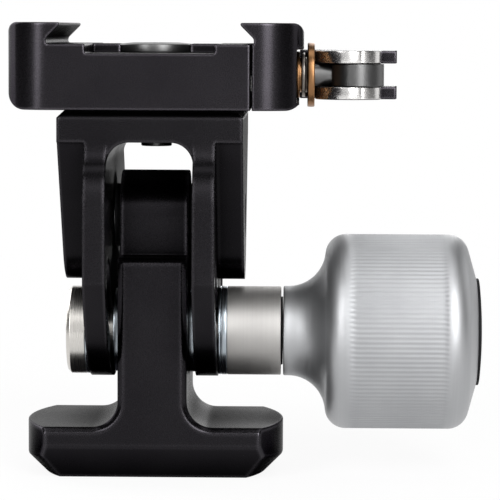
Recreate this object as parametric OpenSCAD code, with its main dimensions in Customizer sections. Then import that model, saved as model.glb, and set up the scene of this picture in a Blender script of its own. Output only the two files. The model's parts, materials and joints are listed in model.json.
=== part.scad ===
// Single-axis tilting head for a monopod. A yoke straddles the column of a T-shaped base and tilts
// on a pin. A knob pulls the yoke's two slotted cheeks against the column to lock the tilt. On top
// sits a dovetail clamp whose moving jaw is closed by a cam lever.
// X runs along the tilt axis towards the knob, Y along the clamp's groove, Z up.
// The origin is the middle of the foot's underside.

/* [Foot] */
// Width over the round ends of the foot
foot_w = 50.2; // [46:0.2:56]
// Depth between the front and rear flats, also the depth of the column
foot_d = 32.5; // [30:0.5:36]
// Width of the front and rear flats
foot_flat_w = 41.4; // [36:0.2:44]
// Height of the foot
foot_h = 10.3; // [9:0.1:13]
// Height of the ridge over the front and rear bevels
foot_ridge_z = 6.6; // [4:0.1:8]
// Run of the front and rear bevels
foot_bevel_run = 4.7; // [2:0.1:6]
// Radius of the underside inside the turned bevel
foot_under_r = 21.5; // [18:0.1:24]
// Radius of the threaded hole for the monopod's 3/8 inch stud
socket_r = 4.76; // [3:0.01:5]
// Depth of that hole
socket_l = 11; // [8:0.5:14]
// Wall of the threaded bush around it
socket_wall = 1.6; // [1:0.1:2.5]

/* [Column] */
// Width of the column, along the tilt axis
column_w = 13.3; // [11:0.1:16]
// Fillet between column and foot
column_fillet = 5; // [2:0.5:7]
// Bevel that runs along the front and rear edges of foot and column
edge_bevel = 0.9; // [0.3:0.1:1.2]
// Radius of the round knuckle at the column's top
knuckle_r = 8.9; // [8:0.1:10]
// Gap left between the column's shoulders and the yoke's top bar at full tilt
shoulder_gap = 0.8; // [0.7:0.1:2]
// Least drop from the tilt axis to the column's shoulders
shoulder_least = 7.3; // [5:0.1:8]

/* [Axes] */
// Height of the lock bolt's axis above the foot's underside
bolt_z = 27.5; // [27:0.1:32]
// Distance from the lock bolt's axis up to the tilt axis
axis_gap = 22.7; // [22.4:0.1:25]
// Largest tilt to either side, in degrees
tilt_max = 60; // [30:1:60]

/* [Pivot] */
// Radius of the pivot pin
pin_r = 3.15; // [2.6:0.05:3.4]
// Wall of the pivot bushes
bush_wall = 1; // [0.6:0.1:1.5]
// Radius of the pivot bushes' flanges
bush_flange_r = 6.2; // [5.2:0.1:8]
// Radius of the pivot screws' heads
pivot_head_r = 4.4; // [4:0.1:5.5]
// Height of the pivot screws' heads
pivot_head_h = 2.2; // [1.5:0.1:2.6]
// Radius of the pivot screws' threads
pivot_screw_r = 2; // [1.5:0.1:2.2]
// Length of the pivot screws' threads
pivot_screw_l = 7; // [5:0.5:9]

/* [Yoke] */
// Gap between the column and each cheek
side_gap = 1.45; // [1:0.05:2.5]
// Thickness of each cheek
cheek_t = 4.2; // [3:0.1:6]
// Thickness of each ear outside its cheek
ear_t = 5.15; // [4:0.05:7]
// Least radius of the cheeks about the tilt axis
cheek_r = 31.5; // [31:0.1:33]
// Depth of the cheeks between their front and rear faces
cheek_d = 59; // [56:0.5:61]
// Least height of those faces below the shoulders
cheek_flat = 4; // [1:0.5:8]
// Radius of the cheeks' upper shoulders
shoulder_r = 10; // [8:0.5:12]
// Radius of the hollow between the shoulders and the top bar
hollow_r = 7; // [6:0.5:9]
// Depth of the top bar
bar_d = 50; // [44:0.5:52]
// Thickness of the top bar
bar_t = 6; // [5:0.1:8]
// Height of the top bar's underside above the tilt axis
bar_rise = 15.2; // [13.8:0.1:17]
// Bevel of the top bar's upper edges
bar_bevel = 1.4; // [0.5:0.1:2]
// Radius of the corners under the top bar
window_r = 4.2; // [2:0.1:6]
// Radius of the ears' round lower ends
ear_r = 12.5; // [11:0.1:13]
// Flare of the ears' sides, in degrees
ear_flare = 32; // [24:1:36]

/* [Lock] */
// Radius of the lock bolt
bolt_r = 4; // [3:0.1:4.5]
// Radius of the cap at the bolt's left end
cap_r = 8.6; // [7:0.1:9]
// Thickness of that cap
cap_t = 3.7; // [2.5:0.1:5]
// Bevel of that cap's rim
cap_bevel = 0.7; // [0.3:0.1:1.5]
// Thickness of the washer under the cap
cap_washer_t = 1.1; // [0.6:0.1:2]
// Radius of the friction washers
friction_r = 8.2; // [7:0.1:10]
// Radius of the thrust ring and washer
thrust_r = 8.7; // [7:0.1:9.2]
// Thickness of the thrust ring
thrust_ring_t = 0.5; // [0.3:0.1:1]
// Thickness of the thrust washer
thrust_washer_t = 1.2; // [0.8:0.1:2]
// Radius of the spacer sleeve
sleeve_r = 8.7; // [8:0.05:9.4]
// Length of the spacer sleeve
sleeve_l = 10.5; // [8:0.1:16]
// Radius of the slip washer
slip_r = 6.7; // [5.5:0.1:8]
// Thickness of the slip washer
slip_t = 0.35; // [0.2:0.05:0.8]

/* [Knob] */
// Radius of the knob's hub
hub_r = 8.8; // [8.5:0.1:10]
// Length of the hub's straight part
hub_l = 1; // [0.5:0.1:5]
// Radius of the knob's grip
knob_r = 19.1; // [17:0.1:23]
// Length of the curve from hub to grip
neck_l = 11.3; // [10:0.1:14]
// Share of that curve's radii that the hollow part takes
neck_share = 0.64; // [0.4:0.01:0.7]
// Length of the knurled grip
grip_l = 20; // [16:0.1:28]
// Number of grooves in the knurl
knurl_n = 126; // [60:1:180]
// Depth of the knurl
knurl_depth = 0.3; // [0.1:0.05:0.5]
// Depth of the knurl's crests below the smooth ends
knurl_sink = 0.05; // [0.02:0.01:0.2]
// Radius of the rounding at the knob's outer end
end_round = 4; // [2:0.1:6]
// Slope of the knob's end face, in degrees
end_slope = 16; // [4:1:20]
// Radius of the end cap
end_cap_r = 10.5; // [9.5:0.1:12]
// Thickness of the end cap's rim
end_cap_t = 0.5; // [0.3:0.1:1]
// Height of the end cap's dome
end_dome = 0.6; // [0.2:0.1:1.5]
// Depth of the end cap's plug
end_plug_l = 2; // [1:0.1:3]
// Wall of the threaded bush in the knob
insert_wall = 2.4; // [1.5:0.1:3]
// Length of the threaded bush in the knob
insert_l = 20; // [14:0.5:24]
// Radius of the stop washer at the bolt's inner end
stop_r = 5.6; // [5:0.1:6]
// Thickness of the stop washer
stop_t = 1.2; // [0.8:0.1:1.6]
// Radius of the stop screw's head
stop_head_r = 3.8; // [3:0.1:4.5]
// Height of the stop screw's head
stop_head_h = 2.2; // [1.5:0.1:2.6]
// Radius of the stop screw's thread
stop_screw_r = 2; // [1.5:0.1:2.2]
// Length of the stop screw's thread
stop_screw_l = 8; // [6:0.5:12]

/* [Clamp] */
// Length of the clamp, along the groove
clamp_l = 50; // [44:0.5:70]
// Height of the clamp
clamp_h = 16.4; // [15.6:0.1:18]
// Distance from the middle to the fixed jaw's outer face
fixed_end = 27.2; // [25:0.1:31]
// Distance from the middle to the parting face of the moving jaw
parting_x = 18.9; // [18.4:0.1:19.2]
// Length of the moving jaw from the parting face to its outer face
jaw_l = 9.9; // [9:0.1:13]
// Radius of the fixed jaw's upright corners
body_corner_r = 8.2; // [4:0.1:10]
// Radius of the moving jaw's upright corners
jaw_corner_r = 8.6; // [4:0.1:9]
// Rounding along the clamp's lower ends
under_edge_r = 3.5; // [1:0.1:4]
// Rounding along the clamp's upper ends
top_edge_r = 2; // [0.5:0.1:3]
// Distance between the tips of the two jaws
tip_gap = 33.8; // [32:0.1:36]
// Depth of the undercut under each tip
undercut = 2.5; // [1.5:0.1:2.8]
// Upright land at each tip
tip_land = 0.5; // [0.2:0.1:0.8]
// Depth of the groove between the jaws
groove_h = 4; // [3.6:0.1:4.4]
// Width of the pockets in the groove's floor
pocket_w = 24.3; // [18:0.1:28]
// Depth of those pockets
pocket_h = 1.75; // [1:0.05:2]
// Length of the rib between the front and rear pockets
rib_l = 8; // [4:0.5:20]
// Radius of the clamp screw
clamp_screw_r = 3; // [2.5:0.1:3.5]
// Radius of the clamp screw's head
screw_head_r = 7.5; // [6:0.1:9]
// Height of the clamp screw's head
screw_head_h = 2.3; // [1.8:0.1:2.6]
// Length of the screw tip under the top bar
screw_tip = 1.6; // [0:0.1:1.8]
// Radius of the dowels between clamp and yoke
dowel_r = 1.5; // [1:0.1:2]
// Length of those dowels in each of the two pieces
dowel_l = 4; // [3:0.1:4.5]
// Distance between the two dowels
dowel_span = 26; // [20:0.5:28]
// Radius of the jaw's guide rods
rod_r = 2; // [1.5:0.1:2.2]
// Distance between the guide rods
rod_span = 30; // [26:0.5:36]
// Length of the guide rods in the clamp body
rod_body_l = 13; // [12:0.5:16]
// Length of the guide rods in the moving jaw
rod_jaw_l = 6; // [5:0.1:6.6]
// Drop of the guide rods below the draw stud
rod_drop = 0.9; // [0:0.1:1.2]
// Wire radius of the jaw springs
wire_r = 0.35; // [0.25:0.05:0.4]
// Number of turns of the jaw springs
spring_turns = 5; // [3:1:6]
// Depth of the springs' seats in the clamp body
spring_l = 7; // [6:0.5:10]

/* [Lever] */
// Height of the draw stud's axis above the clamp's underside
stud_rise = 6.4; // [6.2:0.1:8.4]
// Radius of the draw stud
stud_r = 2.5; // [2.2:0.1:2.6]
// Length of the stud's thread in the clamp body
stud_thread_l = 11; // [8:0.5:13]
// Depth of the long recess in the moving jaw's outer face
nest_depth = 1.4; // [1:0.1:2]
// Radius of the jaw bush
jaw_bush_r = 3.6; // [3.3:0.1:4]
// Radius of the jaw bush's flange
jaw_flange_r = 4.55; // [4.2:0.05:5]
// Thickness of that flange
jaw_flange_t = 0.6; // [0.4:0.1:1]
// Radius of the seat ring
seat_r = 4.3; // [4:0.1:5]
// Thickness of the seat ring
seat_t = 0.65; // [0.4:0.05:1]
// Length of the necks beside the seat ring
neck_t = 0.43; // [0.2:0.01:0.6]
// Radius of the bronze washer
washer_r = 6.25; // [5.5:0.05:6.8]
// Thickness of the bronze washer
washer_t = 1.4; // [1:0.1:2]
// Height of the lever
lever_h = 9.5; // [8.5:0.1:9.8]
// Gap between the two arms of the lever's fork
fork_gap = 4.5; // [4:0.1:5]
// Radius of the stud's eye
eye_r = 5.5; // [5:0.1:5.6]
// Radius of the cam pin
cam_pin_r = 2; // [1.5:0.1:2.5]
// Reach of the cam with the lever closed
cam_r = 7.95; // [7.6:0.05:8.4]
// Travel of the moving jaw
jaw_travel = 3; // [2:0.1:3.2]
// Swing of the lever, in degrees
lever_swing = 120; // [90:5:130]
// Width of the lever's handle
handle_w = 8; // [6:0.5:10]
// Reach of the handle from the cam pin
handle_l = 31; // [24:0.5:50]
// Reach of the fork's outer corner to the right of the cam pin
fork_out = 8; // [7:0.1:10]
// Distance from the cam pin back to the front of that corner
fork_corner = 1.2; // [0.5:0.1:2]

/* [Keys] */
// Key width of the pivot screws' sockets
pivot_key = 2.6; // [2:0.1:4]
// Key width of the stop screw's socket
stop_key = 3; // [2:0.1:4]
// Key width of the clamp screw's socket
clamp_key = 4; // [3:0.1:6]
// Depth of all three sockets
key_depth = 1.4; // [0.8:0.1:1.4]

/* [Fits] */
// Radial clearance of pins that turn or slide
run_fit = 0.05; // [0.03:0.01:0.08]
// Radial clearance of pins and screws that stay put
still_fit = 0.02; // [0.01:0.01:0.04]
// Gap between flat faces that rub
face_gap = 0.1; // [0.05:0.05:0.2]
// Gap between pieces that pass each other freely
free_gap = 0.3; // [0.2:0.05:0.4]
// Radial clearance of the lock bolt in the column and the cheeks' slots
bolt_play = 0.2; // [0.1:0.05:0.3]

/* [Hidden] */
$fn = 96;
fine_fn = 192;
eps = 0.01;
cut = 1;
slot_spare = 1;
cam_steps = 60;
arc_steps = 24;
coil_sides = 6;
coil_steps = 12;
pivot_z = bolt_z + axis_gap;
shoulder_reach = foot_d / 2 * sin(tilt_max) - bar_rise + shoulder_gap;
shoulder_drop = max(shoulder_least, shoulder_reach / cos(tilt_max));
shoulder_z = pivot_z - shoulder_drop;
column_foot_z = foot_h - 2 * edge_bevel;

// Places along the tilt axis, from the middle outwards
column_x = column_w / 2;
cheek_x = column_x + side_gap;
ear_x = cheek_x + cheek_t;
yoke_x = ear_x + ear_t;
thrust_x = ear_x + face_gap;
sleeve_x = thrust_x + thrust_ring_t + thrust_washer_t;
slip_x = sleeve_x + sleeve_l;
knob_x = slip_x + slip_t + face_gap;
pin_x = yoke_x - pivot_head_h - free_gap;

// Knob, measured from its hub's face
grip_x = hub_l + neck_l;
neck_rise = knob_r - hub_r;
neck_sum = (neck_l * neck_l + neck_rise * neck_rise) / (2 * neck_rise);
hollow_neck_r = neck_sum * neck_share;
round_neck_r = neck_sum - hollow_neck_r;
neck_turn = atan2(neck_l, neck_sum - neck_rise);
end_x = grip_x + grip_l;
face_x = end_x + end_round * cos(end_slope);
face_r = knob_r - end_round * (1 - sin(end_slope));
seat_x = face_x + (face_r - end_cap_r) * tan(end_slope);
insert_r = bolt_r + insert_wall;
insert_end = seat_x - end_plug_l - stop_head_h - stop_t - 3 * free_gap;
insert_x = insert_end - insert_l;
cavity_r = insert_r + free_gap;
bolt_end = knob_x + insert_end + free_gap;

// Yoke outline about the tilt axis
bar_z = pivot_z + bar_rise;
hollow_y = bar_d / 2 + hollow_r;
shoulder_y = cheek_d / 2 - shoulder_r;
shoulder_v = bar_rise - sqrt(pow(hollow_r + shoulder_r, 2) - pow(hollow_y - shoulder_y, 2));
disc_r = max(cheek_r, norm([cheek_d / 2, cheek_flat - shoulder_v]));

// Clamp heights and places
clamp_z = bar_z + bar_t;
clamp_top = clamp_z + clamp_h;
floor_z = clamp_top - groove_h;
pocket_z = floor_z - pocket_h;
jaw_end = parting_x + jaw_l;
jaw_gap = free_gap / 2;
body_face_x = parting_x - jaw_gap;
jaw_face_x = parting_x + jaw_gap;
tip_x = tip_gap / 2;
under_x = tip_x + undercut;
rod_z = clamp_z + stud_rise - rod_drop;
spring_r = rod_r + run_fit + free_gap + wire_r;
spring_seat_r = spring_r + wire_r + free_gap;

// Draw stud, washers and lever
stud_z = clamp_z + stud_rise;
nest_x = jaw_end - nest_depth;
seat_ring_x = nest_x + jaw_flange_t + neck_t;
washer_x = seat_ring_x + seat_t + neck_t;
cam_x = washer_x + washer_t + face_gap;
cam_pin_x = cam_x + cam_r;
neck_ring_r = (stud_r + seat_r) / 2;
eye_t = fork_gap - 2 * face_gap;
eye_x = cam_x + jaw_travel + free_gap;
cam_rate = jaw_travel / (lever_swing * PI / 180);
open_r = cam_r - jaw_travel;
handle_x = nest_x + free_gap * 2 - cam_pin_x;
web_y = washer_r + free_gap * 3;

black = [0.07, 0.07, 0.08];
silver = [0.75, 0.75, 0.76];
steel = [0.55, 0.56, 0.58];
bronze = [0.66, 0.42, 0.24];

// Extrudes a YZ outline from x0 to x1
module along_x(x0, x1) {
    translate([x0, 0, 0])
        rotate([90, 0, 90])
            linear_extrude(x1 - x0)
                children();
}

// Extrudes an XZ outline over a depth centred on the middle plane
module along_y(depth) {
    translate([0, depth / 2, 0])
        rotate([90, 0, 0])
            linear_extrude(depth)
                children();
}

// Cylinder along X from x0 to x1, about the height z
module rod_x(r, x0, x1, z) {
    translate([x0, 0, z])
        rotate([0, 90, 0])
            cylinder(r = r, h = x1 - x0);
}

// Ring along X with a bore
module ring_x(r, bore, x0, x1, z) {
    difference() {
        rod_x(r, x0, x1, z);
        rod_x(bore, x0 - cut, x1 + cut, z);
    }
}

// Revolves a profile of [radius, distance along X] points about the X axis at the height z
module turned_x(x0, z) {
    translate([x0, 0, z])
        rotate([0, 90, 0])
            rotate_extrude()
                children();
}

// Points of an arc about the centre c, from the angle a0 to a1
function arc(c, r, a0, a1) = [
    for (i = [0:arc_steps])
        let (a = a0 + (a1 - a0) * i / arc_steps)
        [c.x + r * cos(a), c.y + r * sin(a)]
];

// What a rounding of radius r takes off a square corner at the origin, in the first quadrant
module corner(r) {
    difference() {
        translate([-cut, -cut])
            square(r + cut);
        translate([r, r])
            circle(r);
    }
}

// Hexagon socket sunk from the height 0
module hex_socket(flats) {
    translate([0, 0, -key_depth])
        cylinder(r = flats / sqrt(3), h = key_depth + cut, $fn = 6);
}

// Plan of the foot: straight flats and round ends
module foot_plan() {
    sagitta = (foot_w - foot_flat_w) / 2;
    end_r = (pow(foot_d / 2, 2) + pow(sagitta, 2)) / (2 * sagitta);
    intersection() {
        square([foot_w, foot_d], center = true);
        translate([end_r - foot_w / 2, 0])
            circle(end_r, $fn = fine_fn);
        mirror([1, 0])
            translate([end_r - foot_w / 2, 0])
                circle(end_r, $fn = fine_fn);
    }
}

// Side outline of a block that is bevelled along its upper front and rear edges
module bevelled_side(bottom, top) {
    half = foot_d / 2;
    polygon([
        [-half, bottom], [half, bottom], [half, top - edge_bevel], [half - edge_bevel, top],
        [-half + edge_bevel, top], [-half, top - edge_bevel]
    ]);
}

module foot() {
    inner = foot_d / 2 - foot_bevel_run;
    intersection() {
        linear_extrude(foot_h)
            foot_plan();
        rotate(90)
            rotate_extrude()
                polygon([
                    [0, 0], [foot_under_r, 0], [foot_under_r + foot_h, foot_h], [0, foot_h]
                ]);
        along_x(-foot_w / 2, foot_w / 2)
            union() {
                bevelled_side(foot_ridge_z, foot_h);
                polygon([
                    [-inner, 0], [inner, 0], [foot_d / 2, foot_ridge_z], [-foot_d / 2, foot_ridge_z]
                ]);
            }
    }
}

// Upright of the base, bevelled along its upright edges and its shoulders
module column() {
    half = foot_d / 2;
    flat = column_x - edge_bevel;
    deep = half - edge_bevel;
    intersection() {
        linear_extrude(shoulder_z)
            polygon([
                [-flat, -half], [flat, -half], [column_x, -deep], [column_x, deep],
                [flat, half], [-flat, half], [-column_x, deep], [-column_x, -deep]
            ]);
        along_x(-column_x, column_x)
            bevelled_side(column_foot_z, shoulder_z);
    }
}

// Fillet at the right of the column, with the bevel running on round its front and rear edges
module fillet_block() {
    wide = column_x + column_fillet;
    top_z = foot_h + column_fillet;
    outer_r = 2 * wide;
    intersection() {
        translate([wide, foot_d / 2, top_z])
            rotate([90, 0, 0])
                rotate(180)
                    rotate_extrude(angle = 90)
                        polygon([
                            [column_fillet + edge_bevel, 0], [column_fillet, edge_bevel],
                            [column_fillet, foot_d - edge_bevel], [column_fillet + edge_bevel, foot_d],
                            [outer_r, foot_d], [outer_r, 0]
                        ]);
        translate([0, -foot_d / 2, column_foot_z])
            cube([wide, foot_d, top_z - column_foot_z]);
    }
}

module knuckle() {
    rod_x(knuckle_r, -column_x, column_x, pivot_z);
    translate([-column_x, -knuckle_r, shoulder_z - cut])
        cube([column_w, 2 * knuckle_r, shoulder_drop + cut]);
}

module base_column() {
    bush_r = pin_r + run_fit + bush_wall;
    color(black)
        difference() {
            union() {
                foot();
                column();
                fillet_block();
                mirror([1, 0, 0])
                    fillet_block();
                knuckle();
            }
            translate([0, 0, -cut])
                cylinder(r = socket_r + socket_wall, h = socket_l + cut);
            rod_x(bolt_r + bolt_play, -column_w, column_w, bolt_z);
            rod_x(bush_r + still_fit, -column_w, column_w, pivot_z);
        }
}

module thread_insert() {
    color(steel)
        difference() {
            cylinder(r = socket_r + socket_wall, h = socket_l);
            translate([0, 0, -cut])
                cylinder(r = socket_r, h = socket_l + 2 * cut);
        }
}

// Flanged bush in the right half of the knuckle
module pivot_bush() {
    bore = pin_r + run_fit;
    color(bronze)
        difference() {
            union() {
                rod_x(bore + bush_wall, free_gap, column_x + eps, pivot_z);
                rod_x(bush_flange_r, column_x, cheek_x - free_gap, pivot_z);
            }
            rod_x(bore, 0, yoke_x, pivot_z);
        }
}

module pivot_bush_right() {
    pivot_bush();
}

module pivot_bush_left() {
    mirror([1, 0, 0])
        pivot_bush();
}

module clamp_bolt() {
    under = -thrust_x - cap_washer_t;
    color(silver)
        difference() {
            union() {
                turned_x(under - cap_t, bolt_z)
                    polygon([
                        [0, 0], [cap_r - cap_bevel, 0], [cap_r, cap_bevel], [cap_r, cap_t], [0, cap_t]
                    ]);
                rod_x(bolt_r, under - eps, bolt_end, bolt_z);
            }
            rod_x(stop_screw_r + still_fit, bolt_end - stop_screw_l - free_gap, bolt_end + cut, bolt_z);
        }
}

module cap_washer() {
    color(steel)
        ring_x(cap_r, bolt_r + still_fit, -thrust_x - cap_washer_t, -thrust_x, bolt_z);
}

module friction_washer_right() {
    color(steel)
        ring_x(friction_r, bolt_r + still_fit, column_x, cheek_x - face_gap, bolt_z);
}

module friction_washer_left() {
    mirror([1, 0, 0])
        friction_washer_right();
}

module thrust_ring() {
    color(steel)
        ring_x(thrust_r, bolt_r + still_fit, thrust_x, thrust_x + thrust_ring_t, bolt_z);
}

module thrust_washer() {
    color(steel)
        ring_x(thrust_r, bolt_r + still_fit, sleeve_x - thrust_washer_t, sleeve_x, bolt_z);
}

module spacer_sleeve() {
    color(silver)
        ring_x(sleeve_r, bolt_r + still_fit, sleeve_x, slip_x, bolt_z);
}

module slip_washer() {
    color(black)
        ring_x(slip_r, bolt_r + still_fit, slip_x, slip_x + slip_t, bolt_z);
}

module stop_washer() {
    color(steel)
        ring_x(stop_r, stop_screw_r + still_fit, bolt_end, bolt_end + stop_t, bolt_z);
}

module stop_screw() {
    head_x = bolt_end + stop_t;
    color(steel)
        difference() {
            union() {
                rod_x(stop_head_r, head_x, head_x + stop_head_h, bolt_z);
                rod_x(stop_screw_r, bolt_end - stop_screw_l, head_x + eps, bolt_z);
            }
            translate([head_x + stop_head_h, 0, bolt_z])
                rotate([0, 90, 0])
                    hex_socket(stop_key);
        }
}

// Hub and neck: a hollow arc runs out of the hub into a round shoulder
module knob_neck() {
    turned_x(knob_x, bolt_z)
        polygon(concat(
            [[0, 0], [hub_r, 0]],
            arc([hub_r + hollow_neck_r, hub_l], hollow_neck_r, 180, 180 - neck_turn),
            arc([knob_r - round_neck_r, grip_x], round_neck_r, -neck_turn, 0),
            [[0, grip_x]]
        ));
}

// Knurled grip: a many-toothed section
module knob_grip() {
    step = 360 / knurl_n;
    points = [for (i = [0:knurl_n - 1], tooth = [0, 1])
        let (r = knob_r - knurl_sink - tooth * knurl_depth, a = step * (i + tooth / 2))
        [r * cos(a), r * sin(a)]];
    translate([0, 0, bolt_z])
        along_x(knob_x + grip_x, knob_x + end_x)
            polygon(points);
}

// Rounded outer end with its sloping face
module knob_end() {
    turned_x(knob_x + end_x, bolt_z)
        intersection() {
            union() {
                translate([knob_r - end_round, 0])
                    circle(end_round);
                polygon([
                    [0, 0], [knob_r, 0], [face_r, face_x - end_x],
                    [end_cap_r, seat_x - end_x], [0, seat_x - end_x]
                ]);
            }
            square([knob_r, seat_x - end_x]);
        }
}

module lock_knob() {
    color(silver)
        difference() {
            union() {
                knob_neck();
                knob_grip();
                knob_end();
            }
            rod_x(bolt_r + bolt_play, knob_x - cut, knob_x + grip_x, bolt_z);
            rod_x(insert_r + still_fit, knob_x + insert_x, knob_x + insert_end + eps, bolt_z);
            rod_x(cavity_r, knob_x + insert_end, knob_x + seat_x + cut, bolt_z);
        }
}

module knob_insert() {
    color(bronze)
        ring_x(insert_r, bolt_r + run_fit, knob_x + insert_x, knob_x + insert_end, bolt_z);
}

// Dark cap with a low dome and a plug that fills the knob's end
module knob_end_cap() {
    dome_r = (pow(end_cap_r, 2) + pow(end_dome, 2)) / (2 * end_dome);
    color(black)
        union() {
            rod_x(cavity_r - still_fit, knob_x + seat_x - end_plug_l, knob_x + seat_x + eps, bolt_z);
            turned_x(knob_x + seat_x, bolt_z)
                intersection() {
                    square([end_cap_r, end_cap_t + end_dome]);
                    translate([0, end_cap_t + end_dome - dome_r])
                        circle(dome_r, $fn = 2 * fine_fn);
                }
        }
}

// Closes an outline with the mirror image of its right half
module both_halves(right) {
    count = len(right);
    polygon(concat(right, [for (i = [count - 1:-1:0]) [-right[i].x, right[i].y]]));
}

// Outline of a cheek about the tilt axis: a disc between two flat faces, whose round shoulders
// run through a hollow into the top bar
module cheek_outline() {
    shoulder = [shoulder_y, shoulder_v];
    rise = bar_rise - shoulder_v;
    turn = atan2(rise, hollow_y - shoulder_y);
    both_halves(concat(
        arc([0, 0], disc_r, -90, -acos(cheek_d / 2 / disc_r)),
        arc(shoulder, shoulder_r, 0, turn),
        arc([hollow_y, bar_rise], hollow_r, 180 + turn, 180),
        [[bar_d / 2, bar_rise + bar_t / 2]]
    ));
}

// Outline of an ear about the tilt axis: a round end with straight sides that flare up to the
// hollows beside the top bar
module ear_outline() {
    top_v = bar_rise + bar_t / 2;
    end_y = ear_r * cos(ear_flare);
    end_v = -ear_r * sin(ear_flare);
    intersection() {
        cheek_outline();
        both_halves(concat(
            arc([0, 0], ear_r, -90, -ear_flare),
            [[end_y + (top_v - end_v) * tan(ear_flare), top_v]]
        ));
    }
}

// Top bar with bevelled upper edges
module top_bar() {
    half = bar_d / 2;
    intersection() {
        along_x(-yoke_x, yoke_x)
            polygon([
                [-half, bar_z], [half, bar_z], [half, clamp_z - bar_bevel],
                [half - bar_bevel, clamp_z], [-half + bar_bevel, clamp_z], [-half, clamp_z - bar_bevel]
            ]);
        along_y(bar_d)
            polygon([
                [-yoke_x, bar_z], [yoke_x, bar_z], [yoke_x, clamp_z - bar_bevel],
                [yoke_x - bar_bevel, clamp_z], [-yoke_x + bar_bevel, clamp_z],
                [-yoke_x, clamp_z - bar_bevel]
            ]);
    }
}

// Fillets between the top bar and the inner faces of the cheeks
module window_fillets() {
    for (side = [0, 1])
        mirror([side, 0, 0])
            along_y(bar_d)
                translate([cheek_x, bar_z])
                    rotate(180)
                        difference() {
                            translate([-eps, -eps])
                                square(window_r + eps);
                            translate([window_r, window_r])
                                circle(window_r);
                        }
}

// Slot in both cheeks that lets the lock bolt pass at any tilt
module bolt_slot() {
    half_w = bolt_r + bolt_play;
    span = 2 * (tilt_max + slot_spare);
    translate([-yoke_x, 0, pivot_z])
        rotate([0, 90, 0])
            rotate(-span / 2)
                rotate_extrude(angle = span)
                    translate([axis_gap - half_w, 0])
                        square([2 * half_w, 2 * yoke_x]);
    for (side = [-1, 1])
        translate([0, 0, pivot_z])
            rotate([side * span / 2, 0, 0])
                rod_x(half_w, -yoke_x, yoke_x, -axis_gap);
}

module yoke() {
    color(black)
        difference() {
            union() {
                top_bar();
                window_fillets();
                for (side = [0, 1])
                    mirror([side, 0, 0])
                        translate([0, 0, pivot_z]) {
                            along_x(cheek_x, ear_x)
                                cheek_outline();
                            along_x(cheek_x, yoke_x)
                                ear_outline();
                        }
            }
            bolt_slot();
            rod_x(pin_r + still_fit, -yoke_x - cut, yoke_x + cut, pivot_z);
            for (side = [0, 1])
                mirror([side, 0, 0])
                    rod_x(pivot_head_r + still_fit, pin_x, yoke_x + cut, pivot_z);
            translate([0, 0, bar_z - cut])
                cylinder(r = clamp_screw_r + still_fit, h = bar_t + 2 * cut);
            dowel_cuts(clamp_z - dowel_l);
        }
}

// Holes for the two dowels, upwards from z
module dowel_cuts(z) {
    for (side = [-1, 1])
        translate([0, side * dowel_span / 2, z - free_gap])
            cylinder(r = dowel_r + still_fit, h = dowel_l + 2 * free_gap);
}

module pivot_pin() {
    color(steel)
        difference() {
            rod_x(pin_r, -pin_x, pin_x, pivot_z);
            for (side = [0, 1])
                mirror([side, 0, 0])
                    rod_x(pivot_screw_r + still_fit, pin_x - pivot_screw_l - free_gap, pin_x + cut, pivot_z);
        }
}

module pivot_screws() {
    color(steel)
        for (side = [0, 1])
            mirror([side, 0, 0])
                difference() {
                    union() {
                        rod_x(pivot_head_r, pin_x, pin_x + pivot_head_h, pivot_z);
                        rod_x(pivot_screw_r, pin_x - pivot_screw_l, pin_x + eps, pivot_z);
                    }
                    translate([pin_x + pivot_head_h, 0, pivot_z])
                        rotate([0, 90, 0])
                            hex_socket(pivot_key);
                }
}

// Outline of the dovetail groove between the jaws
module groove_outline() {
    slope_z = clamp_top - tip_land - undercut;
    polygon([
        [-tip_x, clamp_top + cut], [-tip_x, clamp_top - tip_land], [-under_x, slope_z],
        [-under_x, floor_z], [under_x, floor_z],
        [under_x, slope_z], [tip_x, clamp_top - tip_land], [tip_x, clamp_top + cut]
    ]);
}

// Front outline of the fixed jaw and the clamp's floor
module body_outline() {
    difference() {
        translate([-fixed_end, clamp_z])
            square([fixed_end + body_face_x, clamp_h]);
        translate([-fixed_end, clamp_z])
            corner(under_edge_r);
        translate([-fixed_end, clamp_top])
            mirror([0, 1])
                corner(top_edge_r);
        groove_outline();
        translate([0, floor_z])
            square([fixed_end, groove_h + cut]);
    }
}

// Front outline of the moving jaw
module jaw_outline() {
    difference() {
        union() {
            translate([jaw_face_x, clamp_z])
                square([jaw_end - jaw_face_x, clamp_h]);
            translate([tip_x, floor_z])
                square([jaw_end - tip_x, groove_h]);
        }
        translate([jaw_end, clamp_z])
            mirror([1, 0])
                corner(under_edge_r);
        translate([jaw_end, clamp_top])
            rotate(180)
                corner(top_edge_r);
        groove_outline();
        translate([0, floor_z - cut])
            square([jaw_face_x, cut + free_gap]);
    }
}

// Plan of a clamp half: square at the parting face, rounded at the outer face at x
module clamp_plan(x, corner_r) {
    difference() {
        translate([0, -clamp_l / 2])
            square([x, clamp_l]);
        for (side = [0, 1])
            mirror([0, side])
                translate([x, -clamp_l / 2])
                    mirror([1, 0])
                        corner(corner_r);
    }
}

// Front and rear pockets in the groove's floor, with the rib and the screw head's seat between them
module floor_pockets() {
    pocket_l = (clamp_l - rib_l) / 2;
    for (side = [0, 1])
        mirror([0, side, 0])
            translate([-pocket_w / 2, rib_l / 2, pocket_z])
                cube([pocket_w, pocket_l + cut, pocket_h + cut]);
    translate([0, 0, pocket_z])
        cylinder(r = screw_head_r + free_gap, h = pocket_h + cut);
}

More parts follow.
